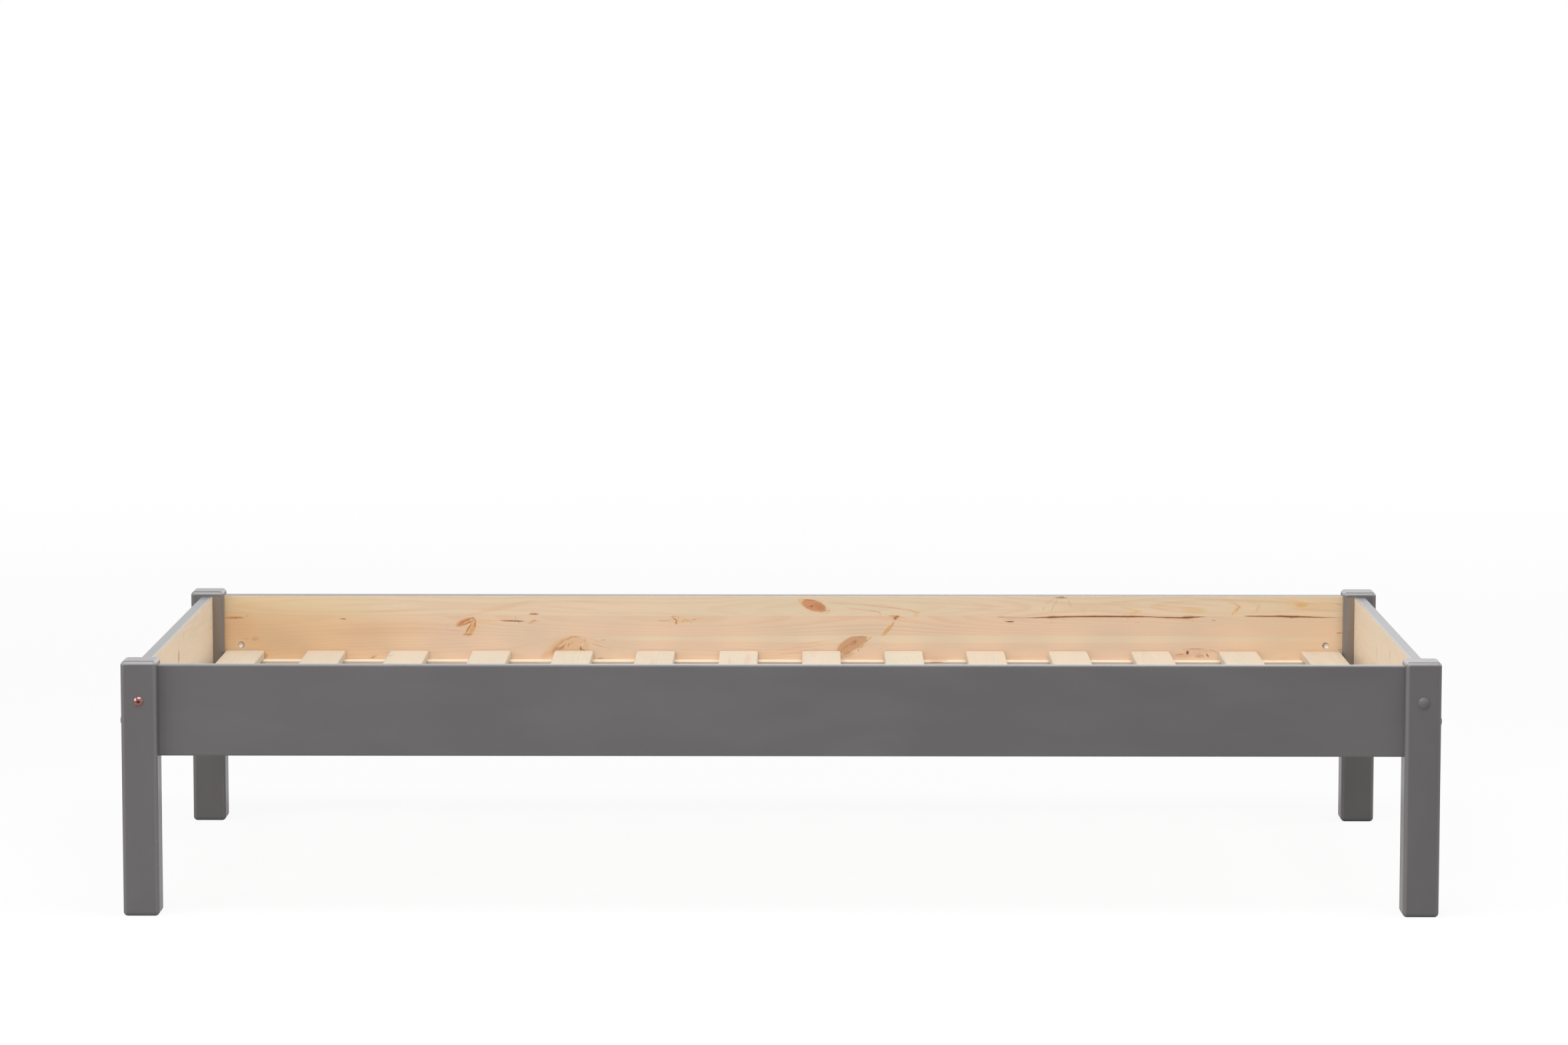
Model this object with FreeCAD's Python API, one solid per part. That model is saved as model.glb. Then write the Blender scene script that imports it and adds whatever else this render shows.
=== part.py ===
import FreeCAD, Part
import os
from math import sqrt

# A low single bed for a child, in millimetres: square posts, boards between them and a loose slatted base.
# +X runs along the bed, +Y from the front to the rear and +Z up, from the floor under the middle of the bed.

# Mattress that lies between the rails, with play on each side
mattress_length = 2000.0
mattress_width = 900.0
mattress_play = 2.0

# Corner posts
post_side = 57.0
post_height = 407.0
post_edge_radius = 7.0

# Side and end rails, centred on the posts
rail_thickness = 19.0
rail_height = 145.0
rail_drop = 8.0
rail_edge_radius = 2.5

# Ledgers along the inside of the side rails
ledger_depth = 25.0
ledger_height = 29.5
ledger_rise = 2.0
ledger_end_gap = 3.0
ledger_edge_radius = 2.0

# Slats, laid by hand: each strays from an even pitch by its share of that pitch
slat_count = 14
slat_width = 68.0
slat_thickness = 15.5
slat_edge_radius = 3.0
slat_end_gap = 2.0
slat_post_gap = 1.5
slat_stray_shares = [
    0, -0.017, -0.015, -0.024, -0.027, -0.037, -0.037,
    -0.041, -0.053, -0.067, -0.067, -0.072, -0.016, -0.014,
]

# Webbing straps that tie the slats together from below
webbing_width = 25.0
webbing_thickness = 1.2
webbing_inset = 100.0
webbing_end_inset = 12.0

# Staples through the webbing into the slats
staple_crown = 12.0
staple_wire = 1.0
staple_bite = 9.0
staple_clearance = 0.05

# Bolts that pull the rails against the posts, low on the side rails and high on the end rails
bolt_diameter = 6.0
bolt_hole_clearance = 0.5
bolt_stagger = 33.0
bolt_past_nut = 10.0
bolt_end_room = 3.0
bolt_tip_chamfer = 0.8
head_diameter = 15.0
head_rim = 0.8
head_height = 2.6
socket_width = 4.0
socket_depth = 3.0

# Barrel nuts, let into the inner faces of the rails
nut_diameter = 10.0
nut_setback = 28.0
nut_cover = 3.0
nut_clearance = 0.1
nut_end_room = 0.3
nut_dimple_diameter = 4.5
nut_dimple_depth = 1.2
thread_clearance = 0.05

# Wooden dowels above and below each bolt
dowel_diameter = 8.0
dowel_length = 36.0
dowel_offset = 45.0
dowel_clearance = 0.1
dowel_end_room = 1.0
dowel_chamfer = 1.0

# Caps over the bolt heads
cap_wall = 1.2
cap_head_room = 0.15
cap_rim_rise = 0.5
cap_stem_clearance = 0.05
cap_stem_reach = 2.0

# Countersunk screws that hold the ledgers
screw_count = 7
screw_diameter = 4.0
screw_head_diameter = 8.0
screw_grip = 13.0
screw_tip = 4.0
screw_end_inset = 70.0
screw_shank_clearance = 0.25
screw_thread_clearance = 0.1
recess_length = 4.4
recess_width = 1.0
recess_depth = 1.6

# How far a cutting shape runs past the face that it cuts
overrun = 2.0

# Places worked out from the sizes above
inner_x = mattress_length / 2 + mattress_play
inner_y = mattress_width / 2 + mattress_play
post_x = inner_x + rail_thickness / 2
post_y = inner_y + rail_thickness / 2
post_inner_x = post_x - post_side / 2
post_inner_y = post_y - post_side / 2
rail_top = post_height - rail_drop
rail_bottom = rail_top - rail_height
rail_middle = (rail_top + rail_bottom) / 2
side_bolt_z = rail_middle - bolt_stagger / 2
end_bolt_z = rail_middle + bolt_stagger / 2
ledger_bottom = rail_bottom + ledger_rise
ledger_top = ledger_bottom + ledger_height
ledger_middle = (ledger_bottom + ledger_top) / 2
ledger_inner_y = inner_y - ledger_depth
ledger_half_length = post_inner_x - ledger_end_gap
slat_bottom = ledger_top
slat_top = slat_bottom + slat_thickness
slat_half_length = inner_y - slat_end_gap
slat_first_x = slat_post_gap + slat_width / 2 - post_inner_x
slat_pitch = -2 * slat_first_x / (slat_count - 1)
webbing_y = ledger_inner_y - webbing_inset
webbing_bottom = slat_bottom - webbing_thickness
nut_length = rail_thickness - 2 * nut_cover
bolt_past_rail_end = nut_setback + nut_diameter / 2 + bolt_past_nut
bolt_hole_radius = bolt_diameter / 2 + bolt_hole_clearance
dowel_hole_radius = dowel_diameter / 2 + dowel_clearance
dowel_hole_depth = dowel_length / 2 + dowel_end_room
screw_length = ledger_depth + screw_grip
screw_pitch = 2 * (ledger_half_length - screw_end_inset) / (screw_count - 1)

sides = {"front": -1, "rear": 1}
ends = {"left": -1, "right": 1}
bare_bolt = ("front", "left")

vector = FreeCAD.Vector
origin = vector(0, 0, 0)
x_axis = vector(1, 0, 0)
y_axis = vector(0, 1, 0)
z_axis = vector(0, 0, 1)


def block(low, high):
    """A box between its lowest and highest corners."""
    size = high - low
    return Part.makeBox(size.x, size.y, size.z, low)


def middle_block(centre, size):
    """A box about its centre."""
    return block(centre - size / 2, centre + size / 2)


def rod(radius, start, end):
    """A round bar from one point to another."""
    axis = end - start
    return Part.makeCylinder(radius, axis.Length, start, axis)


def board(centre, size, direction, radius):
    """A board whose long edges, which run along the direction, are rounded."""
    plain = middle_block(centre, size)
    long_edges = [edge for edge in plain.Edges if edge.tangentAt(0).cross(direction).Length < 0.5]
    return plain.makeFillet(radius, long_edges)


def dome(radius, rim, height):
    """A low dome on a straight rim, standing on the XY plane."""
    rise = height - rim
    ball_radius = (radius**2 + rise**2) / (2 * rise)
    crown_x = radius / 2
    crown_z = height - ball_radius + sqrt(ball_radius**2 - crown_x**2)
    foot = vector(radius, 0, 0)
    shoulder = vector(radius, 0, rim)
    top = vector(0, 0, height)
    edges = [
        Part.makeLine(origin, foot),
        Part.makeLine(foot, shoulder),
        Part.Arc(shoulder, vector(crown_x, 0, crown_z), top).toShape(),
        Part.makeLine(top, origin),
    ]
    return Part.Face(Part.Wire(edges)).revolve(origin, z_axis, 360)


def hexagon(width, low, high):
    """An upright six-sided bar, given its width across the flats."""
    corner = vector(width / sqrt(3), 0, low)
    turn = FreeCAD.Rotation(z_axis, 60)
    corners = [corner]
    for _ in range(6):
        corners.append(turn.multVec(corners[-1]))
    return Part.Face(Part.makePolygon(corners)).extrude(z_axis * (high - low))


def chamfered_rod(radius, start, end, chamfer, both_ends):
    """A round bar with a cone at its far end, or at both ends."""
    bar = rod(radius, start, end)
    points = [start, end] if both_ends else [end]
    rims = [edge for edge in bar.Edges if edge.Closed and any(is_centred(edge, point) for point in points)]
    return bar.makeChamfer(chamfer, rims)


def is_centred(edge, point):
    """Whether a round edge lies about a point."""
    return edge.CenterOfMass.distanceToPoint(point) < edge.Curve.Radius / 2


def stand(shape, place, outward):
    """A copy of a shape with its foot at a place and its Z axis turned outward."""
    return shape.transformed(FreeCAD.Placement(place, FreeCAD.Rotation(z_axis, outward)).toMatrix())


def bolt_shape():
    """A joint bolt with its head on the XY plane and its shank below."""
    head = dome(head_diameter / 2, head_rim, head_height)
    tip = -(post_side + bolt_past_rail_end)
    shank = chamfered_rod(bolt_diameter / 2, origin, z_axis * tip, bolt_tip_chamfer, False)
    socket = hexagon(socket_width, head_height - socket_depth, head_height + overrun)
    return head.fuse(shank).removeSplitter().cut(socket)


def cap_shape():
    """A domed cap that stands on the XY plane over a bolt head, with a stem for the bolt's socket."""
    room_radius = head_diameter / 2 + cap_head_room
    room_rim = head_rim + cap_head_room
    room_height = head_height + cap_head_room
    shell = dome(room_radius + cap_wall, room_rim + cap_rim_rise, room_height + cap_wall)
    room = dome(room_radius, room_rim, room_height)
    stem_width = socket_width - 2 * cap_stem_clearance
    stem = hexagon(stem_width, head_height - cap_stem_reach, room_height + cap_wall / 2)
    return shell.cut(room).fuse(stem)


def screw_shape():
    """A countersunk wood screw with its head flush with the XY plane and its point below."""
    shank_radius = screw_diameter / 2
    head_radius = screw_head_diameter / 2
    head_depth = head_radius - shank_radius
    cone_top = screw_tip - screw_length
    outline = [
        origin,
        vector(head_radius, 0, 0),
        vector(shank_radius, 0, -head_depth),
        vector(shank_radius, 0, cone_top),
        vector(0, 0, -screw_length),
        origin,
    ]
    body = Part.Face(Part.makePolygon(outline)).revolve(origin, z_axis, 360)
    arm_height = 2 * recess_depth
    arm_along = middle_block(origin, vector(recess_length, recess_width, arm_height))
    arm_across = middle_block(origin, vector(recess_width, recess_length, arm_height))
    return body.cut([arm_along, arm_across])


class RailJoint:
    """One end of a rail against a post, with the bolt, barrel nut and dowels that hold it."""

    def __init__(self, rail_end, outward, inward):
        self.rail_end = rail_end
        self.outward = outward
        self.inward = inward

    def along(self, distance, rise=0):
        """A point past the rail's end by a distance, at a rise above the bolt."""
        return self.rail_end + self.outward * distance + z_axis * rise

    def dowel_rises(self):
        return (-dowel_offset, dowel_offset)

    def rail_cuts(self):
        nut_middle = self.along(-nut_setback)
        nut_mouth = nut_middle + self.inward * (rail_thickness / 2 + overrun)
        nut_floor = nut_middle - self.inward * (nut_length / 2 + nut_end_room)
        bolt_end = self.along(-bolt_past_rail_end - bolt_end_room)
        cuts = [rod(bolt_hole_radius, self.along(overrun), bolt_end)]
        cuts.append(rod(nut_diameter / 2 + nut_clearance, nut_mouth, nut_floor))
        for rise in self.dowel_rises():
            cuts.append(rod(dowel_hole_radius, self.along(overrun, rise), self.along(-dowel_hole_depth, rise)))
        return cuts

    def post_cuts(self):
        cuts = [rod(bolt_hole_radius, self.along(-overrun), self.along(post_side + overrun))]
        for rise in self.dowel_rises():
            cuts.append(rod(dowel_hole_radius, self.along(-overrun, rise), self.along(dowel_hole_depth, rise)))
        return cuts

    def bolt(self):
        return stand(bolt_shape(), self.along(post_side), self.outward)

    def cap(self):
        return stand(cap_shape(), self.along(post_side), self.outward)

    def nut(self):
        nut_middle = self.along(-nut_setback)
        face = nut_middle + self.inward * (nut_length / 2)
        barrel = rod(nut_diameter / 2, face - self.inward * nut_length, face)
        thread = rod(bolt_diameter / 2 + thread_clearance, self.along(-nut_setback - nut_diameter), self.along(0))
        dimple = Part.makeCone(nut_dimple_diameter / 2, 0, nut_dimple_depth, face, -self.inward)
        return barrel.cut([thread, dimple])

    def dowels(self):
        half = dowel_length / 2
        pair = []
        for rise in self.dowel_rises():
            low = self.along(-half, rise)
            high = self.along(half, rise)
            pair.append(chamfered_rod(dowel_diameter / 2, low, high, dowel_chamfer, True))
        return pair


def side_joint(side, end):
    """The joint of a side rail with a post."""
    rail_end = vector(end * post_inner_x, side * post_y, side_bolt_z)
    return RailJoint(rail_end, x_axis * end, y_axis * -side)


def end_joint(side, end):
    """The joint of an end rail with a post."""
    rail_end = vector(end * post_x, side * post_inner_y, end_bolt_z)
    return RailJoint(rail_end, y_axis * side, x_axis * -end)


def post(side, end):
    centre = vector(end * post_x, side * post_y, post_height / 2)
    plain = middle_block(centre, vector(post_side, post_side, post_height))
    rounded = plain.makeFillet(post_edge_radius, plain.Edges)
    return rounded.cut(side_joint(side, end).post_cuts() + end_joint(side, end).post_cuts())


def screw_places(side):
    """Where the screw heads lie on the inner face of a ledger."""
    first = -(ledger_half_length - screw_end_inset)
    y = side * ledger_inner_y
    return [vector(first + index * screw_pitch, y, ledger_middle) for index in range(screw_count)]


def side_rail(side):
    centre = vector(0, side * post_y, rail_middle)
    plain = board(centre, vector(2 * post_inner_x, rail_thickness, rail_height), x_axis, rail_edge_radius)
    cuts = side_joint(side, ends["left"]).rail_cuts() + side_joint(side, ends["right"]).rail_cuts()
    pilot_radius = screw_diameter / 2 + screw_thread_clearance
    for place in screw_places(side):
        tip = place + y_axis * side * (screw_length + screw_thread_clearance)
        cuts.append(rod(pilot_radius, place, tip))
    return plain.cut(cuts)


def end_rail(end):
    centre = vector(end * post_x, 0, rail_middle)
    plain = board(centre, vector(rail_thickness, 2 * post_inner_y, rail_height), y_axis, rail_edge_radius)
    return plain.cut(end_joint(sides["front"], end).rail_cuts() + end_joint(sides["rear"], end).rail_cuts())


def ledger(side):
    centre = vector(0, side * (ledger_inner_y + ledger_depth / 2), ledger_middle)
    size = vector(2 * ledger_half_length, ledger_depth, ledger_height)
    plain = board(centre, size, x_axis, ledger_edge_radius)
    outward = y_axis * side
    hole_radius = screw_diameter / 2 + screw_shank_clearance
    mouth_radius = screw_head_diameter / 2 + screw_shank_clearance
    cuts = []
    for place in screw_places(side):
        cuts.append(rod(hole_radius, place - outward * overrun, place + outward * (ledger_depth + overrun)))
        cuts.append(Part.makeCone(mouth_radius, hole_radius, mouth_radius - hole_radius, place, outward))
    return plain.cut(cuts)


def ledger_screws(side):
    return [stand(screw_shape(), place, y_axis * -side) for place in screw_places(side)]


def slat_centre_x(index):
    return slat_first_x + (index + slat_stray_shares[index]) * slat_pitch


def staple_legs(x, y, top, margin):
    """The two legs of a staple, from its crown's underside to a height, thickened by a margin."""
    wire = staple_wire + 2 * margin
    bottom = webbing_bottom - staple_wire
    size = vector(wire, wire, top - bottom)
    reach = (staple_crown - staple_wire) / 2
    return [middle_block(vector(x, y + way * reach, (bottom + top) / 2), size) for way in (-1, 1)]


def staple(x, y):
    crown = middle_block(
        vector(x, y, webbing_bottom - staple_wire / 2), vector(staple_wire, staple_crown, staple_wire)
    )
    return crown.fuse(staple_legs(x, y, slat_bottom + staple_bite, 0)).removeSplitter()


def staple_holes(x, y):
    return staple_legs(x, y, slat_bottom + staple_bite + staple_clearance, staple_clearance)


def slat(index):
    x = slat_centre_x(index)
    centre = vector(x, 0, (slat_bottom + slat_top) / 2)
    size = vector(slat_width, 2 * slat_half_length, slat_thickness)
    plain = board(centre, size, y_axis, slat_edge_radius)
    return plain.cut(staple_holes(x, -webbing_y) + staple_holes(x, webbing_y))


def webbing(side):
    half_width = webbing_width / 2
    y = side * webbing_y
    start = slat_centre_x(0) - slat_width / 2 + webbing_end_inset
    end = slat_centre_x(slat_count - 1) + slat_width / 2 - webbing_end_inset
    strap = block(vector(start, y - half_width, webbing_bottom), vector(end, y + half_width, slat_bottom))
    holes = []
    for index in range(slat_count):
        holes += staple_holes(slat_centre_x(index), y)
    return strap.cut(holes)


def staples(side):
    return [staple(slat_centre_x(index), side * webbing_y) for index in range(slat_count)]


def export(name, solids):
    """Write one node, a single solid or a group of like solids."""
    shape = solids[0] if len(solids) == 1 else Part.makeCompound(solids)
    print(name, "solids", len(shape.Solids), "valid", shape.isValid(), "volume", round(shape.Volume, 1))
    shape.exportStep(f"parts/{name}.step")


def export_wood():
    for side_name, side in sides.items():
        for end_name, end in ends.items():
            export(f"post_{side_name}_{end_name}", post(side, end).Solids)
        export(f"side_rail_{side_name}", side_rail(side).Solids)
        export(f"ledger_{side_name}", ledger(side).Solids)
    for end_name, end in ends.items():
        export(f"end_rail_{end_name}", end_rail(end).Solids)


def export_slat_base():
    for index in range(slat_count):
        export(f"slat_{index + 1:02d}", slat(index).Solids)
    for side_name, side in sides.items():
        export(f"slat_webbing_{side_name}", webbing(side).Solids)
        export(f"webbing_staples_{side_name}", staples(side))


def export_hardware():
    corners = [(side_name, end_name) for side_name in sides for end_name in ends]
    side_joints = [side_joint(sides[side_name], ends[end_name]) for side_name, end_name in corners]
    end_joints = [end_joint(sides[side_name], ends[end_name]) for side_name, end_name in corners]
    covered = [joint for corner, joint in zip(corners, end_joints) if corner != bare_bolt]
    for kind, joints, capped in (("side", side_joints, side_joints), ("end", end_joints, covered)):
        export(f"{kind}_rail_bolts", [joint.bolt() for joint in joints])
        export(f"{kind}_rail_barrel_nuts", [joint.nut() for joint in joints])
        export(f"{kind}_rail_dowels", [dowel for joint in joints for dowel in joint.dowels()])
        export(f"{kind}_rail_bolt_caps", [joint.cap() for joint in capped])
    for side_name, side in sides.items():
        export(f"ledger_screws_{side_name}", ledger_screws(side))


os.makedirs("parts", exist_ok=True)
export_wood()
export_slat_base()
export_hardware()
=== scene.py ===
import math

import bpy
import numpy as np
from mathutils import Matrix, Vector


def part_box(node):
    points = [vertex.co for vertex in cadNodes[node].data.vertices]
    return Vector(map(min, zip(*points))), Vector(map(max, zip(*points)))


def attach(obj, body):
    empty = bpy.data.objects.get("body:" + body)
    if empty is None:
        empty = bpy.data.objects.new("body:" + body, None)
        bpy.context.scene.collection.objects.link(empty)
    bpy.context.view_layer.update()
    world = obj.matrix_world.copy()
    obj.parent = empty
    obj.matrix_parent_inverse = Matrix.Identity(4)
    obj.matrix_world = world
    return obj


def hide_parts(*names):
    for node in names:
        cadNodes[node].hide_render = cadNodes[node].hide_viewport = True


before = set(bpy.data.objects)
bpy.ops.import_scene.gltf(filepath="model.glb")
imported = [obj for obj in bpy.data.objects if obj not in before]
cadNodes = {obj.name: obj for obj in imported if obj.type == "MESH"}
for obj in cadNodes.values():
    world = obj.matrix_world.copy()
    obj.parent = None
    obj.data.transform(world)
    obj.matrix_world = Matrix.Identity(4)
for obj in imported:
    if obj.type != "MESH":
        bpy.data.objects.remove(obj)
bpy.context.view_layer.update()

# low bed for a child: grey painted posts and boards, bare pine inside, loose slats on two ledgers
# metres throughout, +X along the bed, +Y to the rear, +Z up, floor at zero
mm = 0.001
print("frame loaded:", len(cadNodes), "nodes")


# node wiring: a number or an array sets a socket, a socket is linked to it
class shaderGraph:
    def __init__(self, tree):
        self.tree = tree

    def feed(self, socket, value):
        if isinstance(value, bpy.types.NodeSocket):
            self.tree.links.new(value, socket)
        else:
            socket.default_value = value.tolist() if isinstance(value, np.ndarray) else value

    def add(self, kind, values=(), **settings):
        node = self.tree.nodes.new(kind)
        for name, value in settings.items():
            setattr(node, name, value)
        for key, value in dict(values).items():
            self.feed(node.inputs[key], value)
        return node

    def calc(self, operation, *values, clamp=False):
        node = self.add("ShaderNodeMath", enumerate(values), operation=operation, use_clamp=clamp)
        return node.outputs[0]

    def plus(self, first, second, clamp=False):
        return self.calc("ADD", first, second, clamp=clamp)

    def minus(self, first, second):
        return self.calc("SUBTRACT", first, second)

    def times(self, first, second, clamp=False):
        return self.calc("MULTIPLY", first, second, clamp=clamp)

    def timesPlus(self, first, second, third, clamp=False):
        # first times second, plus third
        return self.calc("MULTIPLY_ADD", first, second, third, clamp=clamp)

    def vectorCalc(self, operation, *values):
        node = self.add("ShaderNodeVectorMath", enumerate(values), operation=operation)
        return node.outputs["Value" if operation in ("LENGTH", "DOT_PRODUCT") else "Vector"]

    def ramp(self, kind, value, low, high, toLow, toHigh):
        values = {"Value": value, "From Min": low, "From Max": high, "To Min": toLow, "To Max": toHigh}
        return self.add("ShaderNodeMapRange", values, interpolation_type=kind).outputs[0]

    def step(self, value, low, high, toLow=0.0, toHigh=1.0):
        # smooth ramp of value from low to high
        return self.ramp("SMOOTHSTEP", value, low, high, toLow, toHigh)

    def vectorStep(self, *values):
        # the smooth ramp on three values at once, whose sockets start at number 6
        settings = {"data_type": "FLOAT_VECTOR", "interpolation_type": "SMOOTHSTEP"}
        return self.add("ShaderNodeMapRange", enumerate(values, 6), **settings).outputs[1]

    def mix(self, share, first, second, blend="MIX"):
        node = self.add("ShaderNodeMix", {0: share, 6: first, 7: second}, data_type="RGBA", blend_type=blend)
        return node.outputs[2]

    def blendValue(self, share, first, second):
        return self.add("ShaderNodeMix", {0: share, 2: first, 3: second}, data_type="FLOAT").outputs[0]

    def vector(self, x, y, z):
        return self.add("ShaderNodeCombineXYZ", {0: x, 1: y, 2: z}).outputs[0]

    def thrice(self, value):
        return self.vector(value, value, value)

    def split(self, vector):
        return self.add("ShaderNodeSeparateXYZ", {0: vector}).outputs[:]

    def place(self):
        return self.split(self.add("ShaderNodeTexCoord").outputs["Object"])

    def noise(self, place, scale, detail=2.0):
        # soft noise from 0 to 1, with scale features a metre along each axis
        spread = self.vectorCalc("MULTIPLY", place, scale)
        return self.add("ShaderNodeTexNoise", {"Vector": spread, "Scale": 1.0, "Detail": detail}).outputs[0]

    def sway(self, place, scale, detail):
        # the same noise about zero
        return self.minus(self.noise(place, scale, detail), 0.5)

    def ellipse(self, spot, along, height, halfLong, halfHigh, turn):
        # x and y in units of an ellipse's half axes, from its middle; sizes in mm, turn in degrees;
        # spot is along, height and one, so that a dot product also takes the middle off
        cosine = math.cos(math.radians(turn))
        sine = math.sin(math.radians(turn))
        long = np.array([cosine, sine, -(cosine * along + sine * height) * mm]) / (halfLong * mm)
        high = np.array([-sine, cosine, (sine * along - cosine * height) * mm]) / (halfHigh * mm)
        return [self.vectorCalc("DOT_PRODUCT", spot, row) for row in (long, high)]

    def away(self, spot, *shape):
        # distance from an ellipse's middle, one on its outline
        return self.vectorCalc("LENGTH", self.vector(*self.ellipse(spot, *shape), 0.0))

    def curve(self, value, points):
        # smooth curve through points in the unit square
        node = self.add("ShaderNodeFloatCurve", {"Value": value})
        line = node.mapping.curves[0].points
        line[0].location = points[0]
        line[1].location = points[-1]
        for point in points[1:-1]:
            line.new(*point)
        for point in line:
            point.handle_type = "AUTO_CLAMPED"
        node.mapping.update()
        return node.outputs[0]


def colour(red, green, blue):
    # sRGB levels of 0 to 255 to linear light
    levels = np.array([red, green, blue]) / 255
    linear = np.where(levels <= 0.04045, levels / 12.92, ((levels + 0.055) / 1.055) ** 2.4)
    return (*map(float, linear), 1.0)


def newObject(name, data):
    made = bpy.data.objects.new(name, data)
    bpy.context.scene.collection.objects.link(made)
    return made


def newMaterial(name):
    made = bpy.data.materials.new(name + "Finish")
    made.use_nodes = True
    graph = shaderGraph(made.node_tree)
    graph.made = made
    graph.shader = made.node_tree.nodes["Principled BSDF"]
    return graph


def surface(graph, tone, roughness, height):
    # the finished material; height in metres shows as bump
    sockets = graph.shader.inputs
    graph.feed(sockets["Base Color"], tone)
    graph.feed(sockets["Roughness"], roughness)
    node = graph.add("ShaderNodeBump", {"Height": height, "Distance": 1.0, "Strength": 1.0})
    graph.feed(sockets["Normal"], node.outputs[0])
    return graph.made


def dress(nodeNames, material):
    for name in nodeNames:
        slots = cadNodes[name].data.materials
        slots.clear()
        slots.append(material)


# satin grey paint, sprayed thin enough for the grain to show a little
paintLook = {
    "grey": colour(107, 104, 105),
    "deep": colour(102, 99, 100),
    "roughness": 0.22,
    "driftScale": (5, 13, 13),
    "drift": (0.3, 0.7),
    "grainScale": (9, 330, 330),
    "grain": (0.55, 0.8, 0.0, 0.35),
    "grainDepth": 0.05 * mm,
}


def paintCoat(graph, place):
    # place holds along, across and depth; tone drifts with broad noise, height is the grain under
    # the coat, drawn out along the board
    look = paintLook
    drift = graph.noise(place, look["driftScale"])
    grain = graph.noise(place, look["grainScale"])
    tone = graph.mix(graph.step(drift, *look["drift"]), look["deep"], look["grey"])
    tone = graph.mix(graph.step(grain, *look["grain"]), tone, look["deep"])
    return tone, graph.times(grain, look["grainDepth"])


# bare pine, shared by the rails' inner faces, the ledgers and the slats
pineLook = {
    "sap": colour(219, 200, 173),  # yellowish wood
    "rose": colour(220, 191, 165),  # pinkish wood
    "late": colour(204, 160, 118),  # end of each year's growth
    "ringWidth": 3.4 * mm,
    "lateShare": 0.28,
    "lateRise": (0.3, 0.86),
    "lateFall": (0.9, 1.0),
    "lateDrift": (-0.2, 0.2),
    "lateLeast": 0.3,
    "waver": 2.4 * mm,
    "fibreShare": 0.04,
    "cloudShare": 0.16,
    "pinkDrift": 1.2,
    "pithAside": 60 * mm,
    "pithBelow": (12 * mm, 30 * mm),
    "pithSlope": 0.03,
    "pithSwing": 50 * mm,
    "seedStep": 0.77,
    "broadScale": (1.4, 5, 5),
    "waverScale": (8, 30, 30),
    "cloudScale": (3, 28, 28),
    "fibreScale": (26, 800, 800),
    "roughness": 0.5,
    "fibreDepth": 0.03 * mm,
}

# tones laid over the wood, palest first
markTones = {
    "straw": colour(219, 201, 173),
    "honey": colour(224, 190, 118),
    "blush": colour(224, 184, 160),
    "resin": colour(216, 178, 122),
    "amber": colour(204, 148, 96),
    "olive": colour(170, 120, 66),
    "rust": colour(160, 98, 58),
    "bark": colour(100, 58, 34),
}


def pineFigure(graph, place, seed, look, rose, push=None):
    # year rings are the distance to a sloping, wandering pith over the ring width, and late wood is
    # the last part of each; rose takes the wood from yellow to pink, push bends the grain sideways
    chance = graph.add("ShaderNodeTexWhiteNoise", {"W": seed}, noise_dimensions="1D").outputs["Color"]
    pick = graph.add("ShaderNodeSeparateColor", {0: chance}).outputs
    along, across, depth = graph.split(place)
    own = graph.vectorCalc("ADD", place, graph.thrice(graph.times(seed, look["seedStep"])))
    broad = graph.sway(own, look["broadScale"], 1.0)
    waver = graph.sway(own, look["waverScale"], 2.0)
    cloud = graph.sway(own, look["cloudScale"], 2.0)
    fibre = graph.noise(place, look["fibreScale"], 1.0)
    aside = graph.minus(across, graph.timesPlus(pick[0], look["pithAside"], -look["pithAside"] / 2))
    aside = graph.timesPlus(waver, 2 * look["waver"], aside)
    if push is not None:
        aside = graph.minus(aside, push)
    slope = graph.timesPlus(pick[2], look["pithSlope"], -look["pithSlope"] / 2)
    nearest, spread = look["pithBelow"]
    below = graph.plus(depth, graph.timesPlus(pick[1], spread, nearest))
    below = graph.timesPlus(along, slope, below)
    below = graph.timesPlus(broad, look["pithSwing"], below)
    radius = graph.vectorCalc("LENGTH", graph.vector(aside, below, 0.0))
    year = graph.calc("FRACT", graph.calc("DIVIDE", radius, look["ringWidth"]))
    late = graph.times(graph.step(year, *look["lateRise"]), graph.step(year, *look["lateFall"], 1.0, 0.0))
    tint = graph.timesPlus(cloud, look["pinkDrift"], rose, clamp=True)
    wood = graph.mix(tint, look["sap"], look["rose"])
    strength = graph.step(broad, *look["lateDrift"], look["lateLeast"] * look["lateShare"], look["lateShare"])
    wood = graph.mix(graph.times(late, strength), wood, look["late"])
    shade = graph.timesPlus(fibre, 2 * look["fibreShare"], 1.0 - look["fibreShare"])
    shade = graph.timesPlus(cloud, look["cloudShare"], shade)
    grey = graph.add("ShaderNodeCombineColor", {0: shade, 1: shade, 2: shade}).outputs[0]
    wood = graph.mix(1.0, wood, grey, "MULTIPLY")
    return wood, graph.times(fibre, look["fibreDepth"])


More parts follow.
